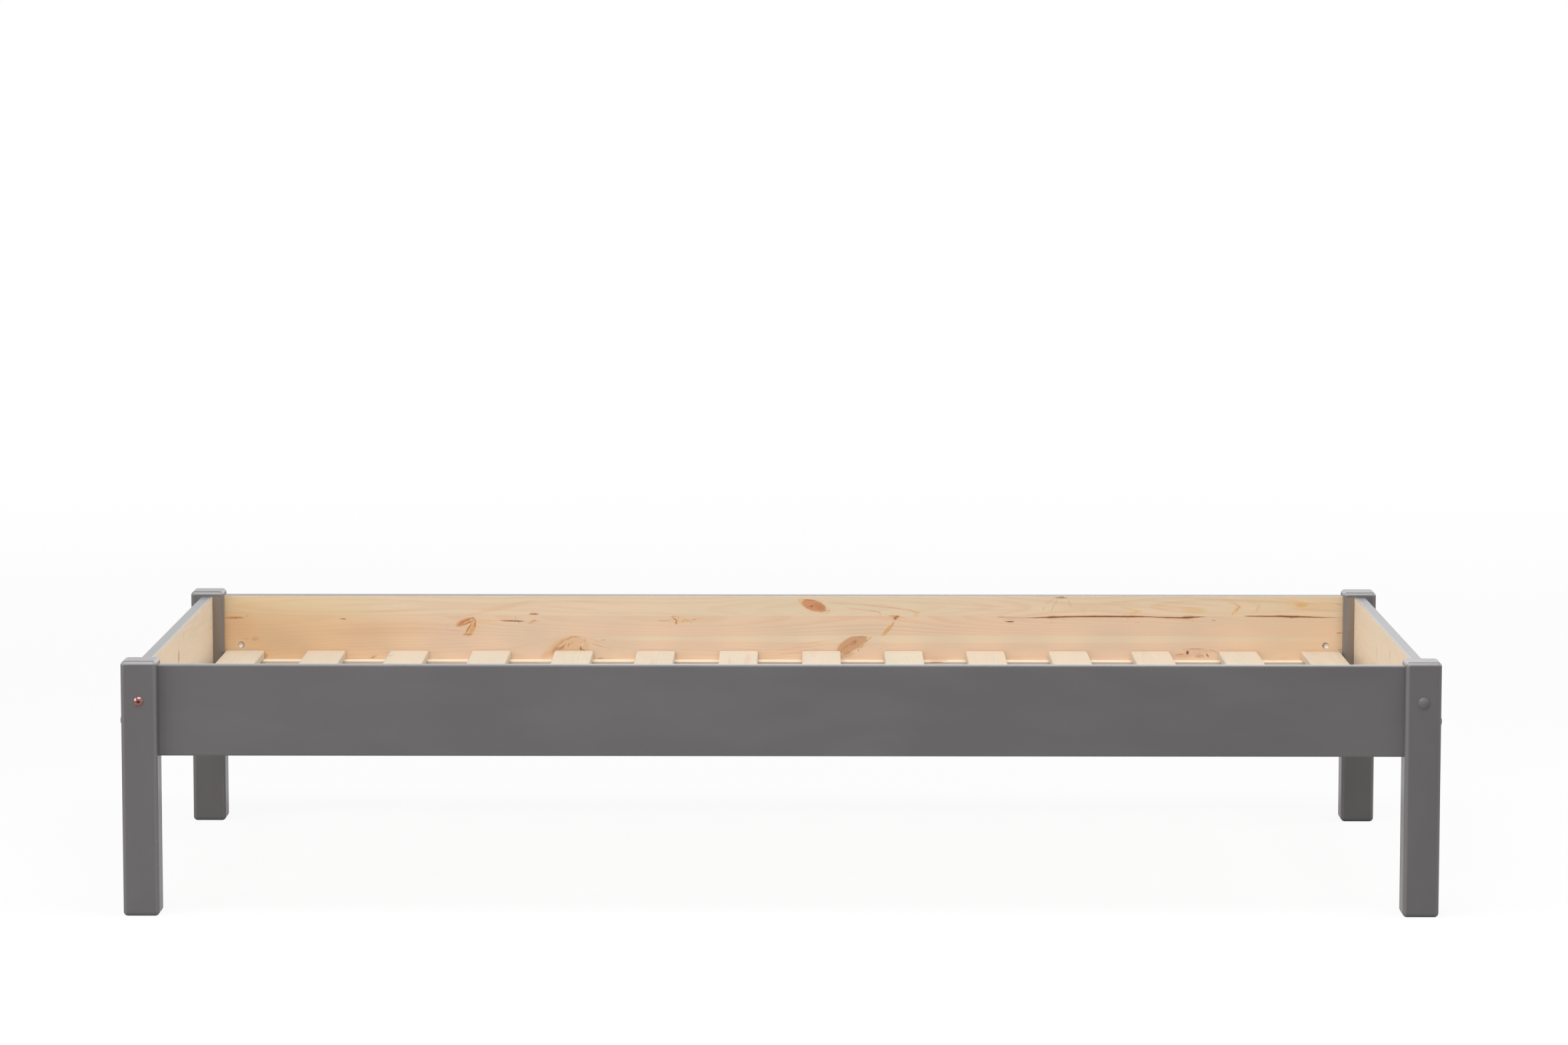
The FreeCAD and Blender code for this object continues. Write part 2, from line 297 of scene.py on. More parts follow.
def markTrio(graph, alongs, heights, rows):
    # three soft ellipses at once: the square of the distance from each middle, in half axes, ramps
    # from the mark's strength down to nothing; a short trio is filled up with marks of no strength
    blank = rows[-1][:5] + (0,)
    trio = (rows + [blank, blank])[:3]
    along, height, halfLong, halfHigh, turn, *shares = np.array([(row + (100,))[:7] for row in trio]).T
    strength, soft = np.array(shares) / 100
    cosine = np.cos(np.radians(turn))
    sine = np.sin(np.radians(turn))
    startX = -(cosine * along + sine * height) / halfLong
    startY = (sine * along - cosine * height) / halfHigh
    x = graph.vectorCalc("MULTIPLY_ADD", heights, sine / (halfLong * mm), startX)
    x = graph.vectorCalc("MULTIPLY_ADD", alongs, cosine / (halfLong * mm), x)
    y = graph.vectorCalc("MULTIPLY_ADD", heights, cosine / (halfHigh * mm), startY)
    y = graph.vectorCalc("MULTIPLY_ADD", alongs, -sine / (halfHigh * mm), y)
    square = graph.vectorCalc("MULTIPLY_ADD", x, x, graph.vectorCalc("MULTIPLY", y, y))
    share = graph.vectorStep(square, (1 - soft) ** 2, np.ones(3), strength, np.zeros(3))
    return graph.vectorCalc("DOT_PRODUCT", share, np.ones(3))


def grainMarks(graph, spot, wood, marks, mottle=1.0):
    # each tone's rows add up to its share of the colour, more or less of it from place to place by mottle
    along, height = graph.split(spot)[:2]
    alongs = graph.thrice(along)
    heights = graph.thrice(height)
    for tone in markTones:
        rows = marks.get(tone, [])
        share = 0.0
        for first in range(0, len(rows), 3):
            share = graph.plus(markTrio(graph, alongs, heights, rows[first:first + 3]), share, clamp=True)
        if rows:
            wood = graph.mix(graph.times(share, mottle, clamp=True), wood, markTones[tone])
    return wood


# knots, in their own half axes: how far they part the grain, ramps of halo, rings and rim
knotLook = {
    "tones": {"ripe": colour(198, 138, 97), "tan": colour(208, 168, 128), "dusky": colour(193, 147, 108)},
    "partLong": 1.9,
    "partHigh": 1.3,
    "halo": (0.95, 1.5, 0.25, 0.0),
    "rings": 4.3,
    "ring": (0.45, 0.95, 0.0, 0.09),
    "rim": (0.75, 0.97, 0.0, 0.12),
}


def knotPush(graph, flat, masks, rows):
    # grain parts round a knot as a stream does round a stone: offset over distance squared
    push = 0.0
    for along, height, halfLong, halfHigh, strip, *rest in rows:
        reach = halfHigh * knotLook["partHigh"]
        aside, above = graph.ellipse(flat, along, height, halfLong * knotLook["partLong"], reach, 0)
        square = graph.timesPlus(aside, aside, graph.times(above, above))
        square = graph.calc("MAXIMUM", square, 1.0)
        offset = graph.times(above, reach * mm)
        part = graph.times(graph.calc("DIVIDE", offset, square), masks[strip])
        push = graph.plus(part, push)
    return push


def knotBodies(graph, spot, wood, masks, rows, mottle):
    # a knot is an ellipse of its own faint rings with a darker rim and a resin halo, all mottled
    look = knotLook
    for along, height, halfLong, halfHigh, strip, turn, tone, strength, soft in rows:
        away = graph.away(spot, along, height, halfLong, halfHigh, turn)
        mask = graph.times(masks[strip], strength / 100)
        halo = graph.times(graph.step(away, *look["halo"]), mask)
        body = graph.times(graph.step(away, 1 - soft / 100, 1 + soft / 200, 1.0, 0.0), mask)
        ringing = graph.calc("FRACT", graph.times(away, look["rings"]))
        dark = graph.plus(graph.step(ringing, *look["ring"]), graph.step(away, *look["rim"]))
        dark = graph.times(dark, mottle)
        wood = graph.mix(halo, wood, markTones["resin"])
        wood = graph.mix(body, wood, look["tones"][tone])
        wood = graph.mix(graph.times(dark, body), wood, markTones["rust"])
    return wood


# splits along the grain: ramps of the dark core and the stained edge, in half widths
splitLook = {
    "tone": colour(126, 74, 40),
    "core": (0.4, 1.3, 1.0, 0.0),
    "stain": (0.8, 3.2, 0.4, 0.0),
    "margin": 2.0,
    "leastHalf": 0.001 * mm,
}


def crackLine(graph, spot, wood, points):
    # how far a point lies from a curve, against a half width that varies along it
    look = splitLook
    along, height = graph.split(spot)[:2]
    alongs, heights, halves = np.array(points).T
    low = heights.min() - look["margin"]
    high = heights.max() + look["margin"]
    wide = halves.max()
    share = graph.ramp("LINEAR", along, alongs[0] * mm, alongs[-1] * mm, 0.0, 1.0)
    travel = (alongs - alongs[0]) / (alongs[-1] - alongs[0])
    level = graph.curve(share, list(zip(travel, (heights - low) / (high - low))))
    half = graph.curve(share, list(zip(travel, halves / wide)))
    level = graph.timesPlus(level, (high - low) * mm, low * mm)
    off = graph.calc("ABSOLUTE", graph.minus(height, level))
    off = graph.calc("DIVIDE", off, graph.timesPlus(half, wide * mm, look["leastHalf"]))
    wood = graph.mix(graph.step(off, *look["stain"]), wood, markTones["amber"])
    return graph.mix(graph.step(off, *look["core"]), wood, look["tone"])


# boards between the posts: glued strips, bare only on the inside
railLook = {
    "stripFoot": 254 * mm,
    "stripWidth": 36.25 * mm,
    "rippleScale": (130, 260, 1),
    "ripple": (2.6 * mm, 1.3 * mm, 0.0),
    "mottleScale": (260, 520, 1),
    "mottle": (0.32, 0.68, 0.8, 1.55),
    # painted highlight: a paler grey on the inner top rounding, where it would catch the light from above
    "roundHighlight": colour(160, 157, 154),
    "roundHighlightBand": (2 * mm, 2.75 * mm, 0.8, 0.0),
    "roundFoot": 396.5 * mm,
    "bareDepth": 1.75 * mm,
    "bareBlend": (0.05 * mm, 0.35 * mm, 1.0, 0.0),
    "raggedScale": (45, 45, 1),
    "ragged": 0.4 * mm,
    "nutHole": 5.3 * mm,
    "nutHoleDepth": 16.8 * mm,
    # the painted shadow in each nut's hole
    "nutShadow": (0.8, 0.5, 6.0, 5.9),  # inward, upward and half axes in mm
}

# marks listed for each tone: along, height, half axes in mm, turn in degrees, strength in
# hundredths, and softness in hundredths where the mark is not soft all through
rearTints = {
    "straw": [(370, 321.5, 760, 8, 0, 85, 45), (-240, 322.5, 105, 5, 0, 60, 80)],
    "honey": [(-1010, 330, 430, 130, 0, 30), (1010, 340, 330, 120, 0, 14)],
    "resin": [
        # the first resin row, a long faint band just above the ledgers, is painted shade between the slats
        (-100, 290.5, 900, 4, 0, 16, 90), (722, 373, 30, 7, -4, 52), (911, 382.6, 17, 6, 2, 72),
        (918, 380, 44, 11, -6, 24), (-552, 344, 36, 24, 20, 16), (527, 374, 7, 9, 30, 24),
        (-188, 355.5, 22, 8, 3, 36), (400, 355, 15, 4, 0, 25), (234, 366, 7.4, 6.4, 20, 55),
    ],
    "amber": [(-1000, 322, 440, 80, 0, 22), (-700, 336, 120, 14, 2, 14), (-722, 290, 12, 4, 15, 30)],
    "olive": [
        (770, 392, 120, 3, -3, 10), (880, 388, 90, 3, -4, 10), (700, 386, 90, 3, -4, 10),
        (620, 380, 90, 3, -5, 9), (940, 374, 60, 3, -3, 10), (300, 384, 120, 3, -3, 9),
        (360, 374, 90, 2.6, -2, 9),
    ],
}

rearMarks = {
    "straw": [(-355, 310.5, 7, 4, 20, 35)],
    "blush": [
        (-560, 351.5, 26, 10, 22, 50), (-582, 331, 24, 6, 0, 40), (-448, 352.6, 7, 1.8, -5, 60),
        (-438, 370.5, 9, 5, 0, 45), (803, 378.6, 5, 3, 10, 50),
    ],
    "resin": [
        (-549.5, 340, 19, 7.6, 62, 75, 60), (-520, 353.8, 27, 2.2, 0, 50), (-166, 354.5, 26, 3, 6, 50),
        (-146, 358, 8, 1.5, 3, 55, 90), (30, 388, 4, 7, 25, 40), (31, 391, 8, 4, 20, 30),
        (198, 360.5, 12, 5.5, 0, 45), (184, 338, 18, 5.5, 47, 65), (176, 329.6, 9, 2.2, 6, 55, 90),
        (142, 311, 10, 4.6, 50, 28), (608, 375.5, 28, 2.6, -14, 40), (618, 369, 14, 4, 14, 50),
        (712, 378, 30, 2.4, -3, 40), (668, 380.8, 44, 2.6, -7, 34), (600, 386, 40, 2.4, -6, 22),
        (785, 388.5, 24, 4.2, -24, 34), (797, 374.5, 13, 4.6, 50, 62), (822, 388, 22, 3.4, -20, 28),
        (835, 377.5, 10, 4.4, 66, 42), (828, 369, 9, 3, 40, 24), (892, 391, 34, 2.6, -9, 36),
        (958, 387, 30, 2.4, -6, 28), (880, 288.2, 10, 1.6, 6, 65, 90),
    ],
    "amber": [
        (-972, 340, 44, 26, 0, 14), (-966, 358.6, 24, 2.8, 1, 85, 90), (-930, 320.8, 9, 4.8, 12, 50, 90),
        (-946, 321, 8, 2.6, 0, 28), (-911.5, 291.5, 4.8, 6, 20, 75, 90), (-562, 351, 19, 7.5, 22, 75),
        (-547, 339, 17, 6, 64, 60, 90), (-512, 372, 80, 3.4, 11, 16), (-485, 381, 76, 3, 10, 15),
        (-372, 376, 70, 3.4, -4, 14), (-330, 386, 80, 3, -4, 13), (-690, 371, 80, 3.2, 3, 13),
        (-740, 382, 90, 3, 2, 13), (-442, 351.6, 9, 3.2, 24, 45), (-436, 353.6, 10, 1.8, 0, 35),
        (-330, 311.5, 18, 1.2, -22, 40, 90), (-328, 317.5, 17, 1.2, -20, 34, 90),
        (-318, 307.5, 23, 1, -14, 28, 90), (-418, 293, 15, 8, 40, 32), (80.5, 372, 6.6, 1.2, 70, 40, 90),
        (77.5, 369.5, 6.6, 1.1, 55, 34, 90), (98, 385, 26, 2.4, -4, 22), (138, 382.5, 34, 2.4, -5, 22),
        (175, 379, 34, 2.6, -6, 26), (207, 375, 28, 2.6, -9, 28), (229, 371, 15, 2.2, -14, 28),
        (134, 374, 32, 2.2, -6, 24), (197.5, 360, 8, 4.2, 10, 70), (183, 337.5, 15, 3.4, 48, 30),
        (193, 351, 10, 3, 60, 30), (34, 307, 70, 3, 7, 16), (20, 297, 60, 3, 7, 18),
        (60, 316, 60, 2.6, 8, 13), (470, 390, 14, 2.4, 28, 20), (457.5, 375.5, 5, 2.4, 70, 24),
        (375, 379.5, 16, 1.3, -3, 28, 90), (705, 293.5, 22, 5, 3, 34), (733, 291.5, 12, 3.4, 0, 70, 90),
        (911, 382, 11, 3.4, 0, 26),
    ],
    "olive": [
        (-942.5, 361.5, 2.6, 1.2, 0, 60, 80), (-188.5, 350.3, 4, 2.2, 88, 80, 80),
        (-193, 361.5, 6.6, 1.9, 8, 34), (-178, 352.3, 2.8, 1.4, 60, 45, 90),
        (-168, 353.6, 3.4, 1.2, 10, 45, 90), (-162.3, 351.8, 2.6, 1.1, -10, 38, 90),
        (-157.5, 356, 3.4, 1.4, 10, 55, 90), (72, 371, 10, 1.7, 14, 38, 90), (160, 371.2, 13, 1.6, -12, 26),
        (170, 367.3, 5.5, 1.6, -50, 22), (211, 359.5, 5.6, 1, -5, 28, 90), (184, 338, 16, 5, 47, 20),
        (110, 308, 11, 3.4, 34, 30), (138, 308.5, 6.6, 1.1, 45, 60, 80), (152.5, 323.2, 4.4, 1.4, 45, 48, 90),
        (113, 294, 13, 6, 15, 30), (113, 297, 12, 1.2, 18, 55, 80), (123.5, 296, 4.4, 1, 80, 32, 90),
        (410, 359.8, 48, 2, -1, 26), (383, 362.2, 9, 1.3, 0, 25, 90), (472, 351.6, 2.4, 1, 0, 40, 90),
        (494, 356.5, 0.9, 2.8, 0, 30, 90), (480, 389, 7, 2.2, 72, 16), (474, 378, 12, 2.4, 66, 16),
        (503, 386, 11, 2.4, -66, 16), (719, 354.5, 2.8, 0.9, 80, 45, 90), (622, 351.5, 7, 0.9, 3, 30, 90),
        (697, 294.8, 10, 1.1, 9, 62, 80), (798, 382, 9, 2, -34, 24), (798.5, 375, 8, 1.9, 48, 26),
        (789.5, 366.5, 3.3, 1.4, 80, 30), (976, 384.5, 9, 1.2, -10, 36, 90), (844, 361, 2.4, 1, 0, 36, 90),
    ],
    "rust": [
        (-963, 358.2, 14, 1.5, 2, 40, 90), (-775, 356.4, 8, 1, -3, 90, 70), (-722, 288.5, 6, 1.6, 24, 60, 90),
        (-568, 347, 10, 4.4, 18, 34), (-557, 354.8, 16, 2, 22, 62, 90), (-553, 350.2, 12, 1.9, 24, 62, 90),
        (-544.5, 356.6, 6, 3.4, -35, 42), (-554, 340, 16.5, 1.8, 58, 62, 85),
        (-542.5, 348, 9, 1.9, 82, 50, 90), (-555, 329, 11, 3, 2, 40, 95), (-592.5, 341.5, 5, 1.2, 105, 14),
        (-579, 336, 15, 1.5, -6, 12), (-476, 353.1, 25, 1.5, -1, 100, 75), (-490, 353.6, 13, 0.9, -1, 60, 80),
        (-471, 358, 0.7, 6, 0, 36, 90), (-465, 348.5, 0.7, 4, 0, 24, 90), (-438.5, 365.4, 11, 2.2, 0, 72, 90),
        (-402, 303, 12, 4, 56, 36), (-391, 315, 11, 3, 42, 30), (-378, 322, 10, 2.6, 24, 26),
        (-392, 304.8, 10, 3.4, 18, 50), (-386, 309.5, 7, 2, 45, 40), (-378, 311, 5.5, 1.6, 68, 50),
        (-372, 314, 5, 1.2, 60, 40, 90), (-356.5, 305.5, 6, 1.3, -72, 70, 85),
        (-352, 302, 5.4, 1.4, -25, 55, 80), (-367, 325.2, 13, 1.7, 0, 34), (-348.5, 319.5, 4.4, 1.8, 70, 30),
        (-317, 319.5, 6, 1.5, 10, 26), (-322, 287, 7, 1.6, 6, 50), (-190.5, 356, 7, 1.8, -38, 60, 80),
        (-184.8, 359.5, 3.8, 1.2, 80, 32, 90), (-173, 355.5, 3, 1.4, 60, 38, 90),
        (-211, 353.6, 14, 1.2, 1, 36, 90), (64, 378.5, 15, 7.5, -22, 30), (45, 390.6, 15, 2, -4, 36),
        (45, 379, 5, 1, 12, 45, 90), (51.5, 382, 1, 3.4, 0, 32, 90), (50.5, 376.5, 0.9, 3.4, 10, 38, 90),
        (197.5, 359.8, 5.6, 3.8, 20, 42, 90), (201.5, 361.8, 5.6, 1.8, 8, 45, 90),
        (194.5, 350, 2.8, 1.2, 30, 36, 90), (192, 345.5, 2.8, 1.2, 35, 36, 90), (136, 326, 9, 1.4, 0, 34, 90),
        (124, 315.5, 10, 5, 30, 30), (126, 316, 4, 1.8, 70, 30), (132.5, 306, 2.3, 1.1, 30, 40, 90),
        (146.5, 318.5, 5.6, 1.8, 30, 42, 90), (392, 353.2, 7, 1.1, 0, 40, 90),
        (488.5, 395.6, 13, 2.3, 0, 60, 90), (606, 359.5, 2.6, 1.4, 0, 45, 90), (711.3, 298.2, 4, 5, 0, 50),
        (733, 301, 34, 5, -3, 14, 90), (726, 304.7, 24, 1.1, 0, 42, 85), (758, 301, 13, 1.1, -22, 38, 85),
        (704.5, 303.4, 3.4, 1, 0, 38, 90), (733, 294, 11, 1.2, 0, 40, 90),
        (746.3, 293.5, 5.6, 2.2, -55, 70, 90), (729, 296.6, 15, 0.9, 4, 28, 90),
        (978, 333.2, 7, 1.4, 0, 62, 85), (981, 304, 7, 1, 0, 52, 90), (893.5, 360, 3.4, 1.4, 0, 52, 90),
    ],
    "bark": [
        (-471, 353, 15, 1.15, -2, 60, 80), (-357, 304, 3, 3.4, 0, 40), (49.5, 379.6, 2.8, 2.2, 0, 55, 80),
        (197.4, 357.8, 2.3, 2.7, 0, 50, 80), (193, 363, 4.4, 1, 10, 32, 90),
        (187.7, 362.8, 2.5, 1, 0, 55, 80), (132, 301.5, 2.8, 1.2, 75, 42, 90),
        (399.5, 352.8, 9, 1.3, 0, 80, 75), (757, 355.2, 5.6, 0.9, 2, 40, 80),
        (711.3, 298.2, 2.5, 3.4, 0, 95, 60),
    ],
}

# knots: along, height, half axes, strip, turn, tone, strength, softness; cracks: along, height, half
# width; pinkShares: one for each strip, lowest first; bareEdge: how far the bare wood climbs the top
# rounding at both ends; nutShade: tone, strength and softness of the painted shadow in the nuts' holes
rearFace = {
    "throughAxis": 1, "innerCorner": 0, "seed": 11, "nut": (955, 310), "nutShade": ("bark", 95, 15),
    "pine": pineLook, "pinkShares": (0.45, 0.9, 0.9, 0.15), "bareEdge": (0.6 * mm, 1.5 * mm),
    "tints": rearTints,
    "marks": rearMarks,
    "knots": [
        (53.5, 381, 23, 9.8, 3, -16, "ripe", 95, 20),
        (-377, 303, 36, 22, 1, 14, "tan", 62, 25),
        (121, 313.5, 30, 12, 1, 27, "dusky", 85, 20),
    ],
    "cracks": [
        [(425, 359.6, 0), (445, 359.8, 0.6), (462, 360.3, 1), (474, 360.8, 1.7), (486, 361.1, 1.3),
         (515, 361.8, 1.2), (550, 362.1, 1.4), (600, 362, 1.4), (630, 361.9, 1.1), (648, 361.4, 0.7),
         (662, 360.7, 0.8), (682, 360.2, 1.1), (698, 360, 1.1), (709, 360.3, 2), (722, 361, 1.3),
         (735, 361.5, 0.6), (745, 361.7, 0)],
        [(808, 363, 0), (825, 362.9, 0.8), (850, 362.7, 1), (872, 362.8, 1.3), (893, 362, 1.7),
         (912, 361.8, 1.2), (928, 361.3, 1), (945, 360.9, 0.6), (984, 360.2, 0)],
    ],
}

frontMarks = {
    "resin": [(-120, 385, 40, 2.6, 1, 40)],
    "amber": [(-820, 372, 30, 1.6, 2, 40, 90), (900, 366, 22, 1.8, -3, 45, 90)],
    "rust": [(-330, 331, 26, 1.4, -2, 60, 80), (430, 350, 18, 1.3, 4, 50, 80)],
    "bark": [
        (-606, 342.5, 2.4, 2, 0, 80, 60), (210, 378.4, 2.6, 1.8, 0, 70, 60), (722, 306, 2.2, 2, 0, 80, 60),
    ],
}
frontFace = dict(
    rearFace, innerCorner=1, seed=31, pinkShares=(0.4, 0.3, 0.8, 0.45), bareEdge=(1.9 * mm, 2.2 * mm),
    tints={}, marks=frontMarks, cracks=[],
    knots=[
        (-610, 342, 19, 10.5, 2, 9, "ripe", 90, 12),
        (215, 378, 24, 9.5, 3, -11, "tan", 85, 15),
        (720, 306, 16, 9, 1, 18, "ripe", 90, 12),
    ])

# end boards are a paler, plainer pine
endPine = dict(
    pineLook, sap=colour(241, 225, 202), rose=colour(239, 217, 193), late=colour(218, 183, 144),
    lateShare=0.16)
leftMarks = {
    "amber": [
        (23, 380, 11, 7, 70, 24, 90), (-44, 350, 9, 3.4, 60, 40, 90), (170, 362, 60, 2.4, 3, 12),
        (-250, 371, 80, 2.4, -2, 12),
    ],
    "rust": [(20, 381, 8, 2, 65, 42, 80), (-51, 356.4, 15, 8, 75, 72, 90)],
}
leftFace = {
    "throughAxis": 0, "innerCorner": 1, "seed": 52, "nut": (405, 343), "nutShade": ("amber", 50, 30),
    "pine": endPine, "pinkShares": (0.3, 0.2, 0.3, 0.1), "bareEdge": (1 * mm, 1 * mm),
    "tints": {}, "marks": leftMarks, "knots": [], "cracks": [],
}
rightMarks = {
    "amber": [
        (235, 341, 50, 2.2, 4, 14), (-150, 352, 46, 2, -3, 16), (84, 347, 5, 19, 0, 42),
        (-107, 369, 5, 13, 0, 55), (-185, 386, 2.8, 10, 0, 25),
    ],
}
rightFace = dict(leftFace, innerCorner=0, seed=75, pinkShares=(0.3, 0.25, 0.15, 0.12), marks=rightMarks)


def marksAndNutShadows(face):
    # the face's marks, and a painted shadow in the hole of each nut, a little inward and above its middle
    tone, strength, soft = face["nutShade"]
    along, height = face["nut"]
    inward, upward, *halves = railLook["nutShadow"]
    rows = [(side * (along - inward), height + upward, *halves, 0, strength, soft) for side in (-1, 1)]
    return {**face["marks"], tone: face["marks"].get(tone, []) + rows}


def railFinish(nodeName, face):
    # inset is how far a point lies outward of the inner face; strips are counted up from the lowest
    graph = newMaterial(nodeName.replace("_", ""))
    look = railLook
    place = graph.place()
    axis = face["throughAxis"]
    through = place[axis]
    along = place[1 - axis]
    z = place[2]
    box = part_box(nodeName)
    innerFace = box[face["innerCorner"]][axis]
    outward = 1.0 - 2.0 * face["innerCorner"]
    inset = graph.times(graph.minus(through, innerFace), outward)
    lift = graph.calc("DIVIDE", graph.minus(z, look["stripFoot"]), look["stripWidth"])
    strip = graph.calc("FLOOR", lift)
    across = graph.timesPlus(graph.calc("FRACT", lift), look["stripWidth"], -look["stripWidth"] / 2)
    masks = [graph.calc("COMPARE", strip, float(count), 0.5) for count in range(len(face["pinkShares"]))]
    rose = 0.0
    for share, mask in zip(face["pinkShares"], masks):
        rose = graph.timesPlus(mask, share, rose)

    flat = graph.vector(along, z, 1.0)
    ripple = graph.thrice(graph.sway(flat, look["rippleScale"], 4.0))
    spot = graph.vectorCalc("ADD", flat, graph.vectorCalc("MULTIPLY", ripple, look["ripple"]))
    mottle = graph.step(graph.noise(flat, look["mottleScale"], 3.0), *look["mottle"])
    push = knotPush(graph, flat, masks, face["knots"]) if face["knots"] else None
    grain = graph.vector(along, across, inset)
    wood = pineFigure(graph, grain, graph.plus(strip, face["seed"]), face["pine"], rose, push)[0]
    wood = grainMarks(graph, flat, wood, face["tints"])
    wood = knotBodies(graph, spot, wood, masks, face["knots"], mottle)
    wood = grainMarks(graph, spot, wood, marksAndNutShadows(face), mottle)
    for points in face["cracks"]:
        wood = crackLine(graph, spot, wood, points)

    paint, height = paintCoat(graph, graph.vector(along, z, through))
    # painted highlight on the paint of the inner top rounding
    thinCoatAndLight = graph.step(inset, *look["roundHighlightBand"])
    thinCoatAndLight = graph.times(thinCoatAndLight, graph.calc("GREATER_THAN", z, look["roundFoot"]))
    paint = graph.mix(thinCoatAndLight, paint, look["roundHighlight"])
    ragged = graph.noise(flat, look["raggedScale"])
    reach = box[1][1 - axis]
    rims = np.array(face["bareEdge"]) + look["roundFoot"]
    edge = graph.minus(z, graph.ramp("LINEAR", along, -reach, reach, *rims))
    edge = graph.calc("MAXIMUM", edge, graph.minus(inset, look["bareDepth"]))
    edge = graph.timesPlus(ragged, look["ragged"], edge)
    bare = graph.step(edge, *look["bareBlend"])
    nut = np.array([*face["nut"], 0.0]) * mm
    mirrored = graph.vector(graph.calc("ABSOLUTE", along), z, 0.0)
    hole = graph.vectorCalc("LENGTH", graph.vectorCalc("SUBTRACT", mirrored, nut))
    inHole = graph.calc("LESS_THAN", hole, look["nutHole"])
    inHole = graph.times(inHole, graph.calc("LESS_THAN", inset, look["nutHoleDepth"]))
    bare = graph.calc("MAXIMUM", bare, inHole)
    tone = graph.mix(bare, paint, wood)
    roughness = graph.blendValue(bare, paintLook["roughness"], pineLook["roughness"])
    return surface(graph, tone, roughness, height)


for nodeName, face in (
    ("side_rail_rear", rearFace), ("side_rail_front", frontFace),
    ("end_rail_left", leftFace), ("end_rail_right", rightFace),
):
    dress([nodeName], railFinish(nodeName, face))
print("boards finished: paint outside, pine inside")


# corner posts: same paint, thin and warm with painted bounce light in the mattress corner, a few chips on the
# edges
postLook = {
    # the brown of a thinner coat and of painted warm bounce light from the bare pine
    "thinCoatAndLight": colour(134, 121, 109),
    "chip": colour(196, 178, 156),
    # paler greys on the rounded edges are painted highlight
    "edgeHighlight": colour(118, 115, 115),
    "topEdgeHighlight": colour(148, 146, 146),
    "centre": (1011.5 * mm, 461.5 * mm),
    "half": 28.5 * mm,
    "innerEdge": (1002 * mm, 452 * mm),
    "innerBlend": 1.5 * mm,
    "thinFoot": (244 * mm, 279 * mm),
    "thinHead": (397.5 * mm, 399 * mm, 1.0, 0.0),
    "patchScale": (40, 40, 14),
    "patch": (0.25, 0.75, 0.75, 1.0),
    "chipBand": (1.5 * mm, 4 * mm, 1.0, 0.0),
    "edgeHighlightBand": (4 * mm, 6.5 * mm, 1.0, 0.0),
    "topRound": (401.4 * mm, 402.8 * mm),
    "topFlat": (405.2 * mm, 406.8 * mm, 1.0, 0.0),
    "speckScale": (210, 210, 120),
    "speck": (0.715, 0.74),
    "chipDepth": 0.1 * mm,
}


def postFinish():
    # thin coat and painted bounce light where a point lies inside both inner faces of the boards,
    # painted highlight on the rounded edges, chips where noise is high close to an upright edge
    graph = newMaterial("post")
    look = postLook
    x, y, z = graph.place()
    wide = graph.calc("ABSOLUTE", x)
    deep = graph.calc("ABSOLUTE", y)
    tone, height = paintCoat(graph, graph.vector(z, x, y))
    blend = look["innerBlend"]
    inX, inY = [graph.step(value, edge - blend, edge + blend, 1.0, 0.0)
                for value, edge in zip((wide, deep), look["innerEdge"])]
    inZ = graph.times(graph.step(z, *look["thinFoot"]), graph.step(z, *look["thinHead"]))
    patch = graph.noise(graph.vector(x, y, z), look["patchScale"])
    thinCoatAndLight = graph.times(graph.times(inX, inY), inZ)
    thinCoatAndLight = graph.times(thinCoatAndLight, graph.step(patch, *look["patch"]))
    # thinner coat and painted warm bounce light in the inner corner
    tone = graph.mix(thinCoatAndLight, tone, look["thinCoatAndLight"])
    offX, offY = [graph.minus(look["half"], graph.calc("ABSOLUTE", graph.minus(value, middle)))
                  for value, middle in zip((wide, deep), look["centre"])]
    corner = graph.calc("MAXIMUM", offX, offY)
    edge = graph.step(corner, *look["chipBand"])
    # painted highlight on the rounded upright edges and on the top rounding
    tone = graph.mix(graph.step(corner, *look["edgeHighlightBand"]), tone, look["edgeHighlight"])
    topHighlightShare = graph.times(graph.step(z, *look["topRound"]), graph.step(z, *look["topFlat"]))
    tone = graph.mix(topHighlightShare, tone, look["topEdgeHighlight"])
    speck = graph.noise(graph.vector(x, y, z), look["speckScale"], 3.0)
    chip = graph.times(edge, graph.step(speck, *look["speck"]))
    tone = graph.mix(chip, tone, look["chip"])
    height = graph.timesPlus(chip, -look["chipDepth"], height)
    return surface(graph, tone, paintLook["roughness"], height)


dress([name for name in cadNodes if name.startswith("post_")], postFinish())
print("posts painted")


def putMesh(name, points, faces, body, replaced, material, middle=None, smoothAngle=35.0):
    # one object at the origin from points and faces worked out elsewhere
    mesh = bpy.data.meshes.new(name)
    mesh.from_pydata(points.reshape(-1, 3).tolist(), [], faces)
    mesh.shade_smooth()
    mesh.set_sharp_from_angle(angle=math.radians(smoothAngle))
    mesh.materials.append(material)
    if middle is not None:
        layer = mesh.attributes.new("boardMiddle", "FLOAT", "POINT")
        layer.data.foreach_set("value", np.full(len(mesh.vertices), middle, dtype=np.float32))
    made = newObject(name, mesh)
    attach(made, body)
    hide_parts(replaced)
    return made


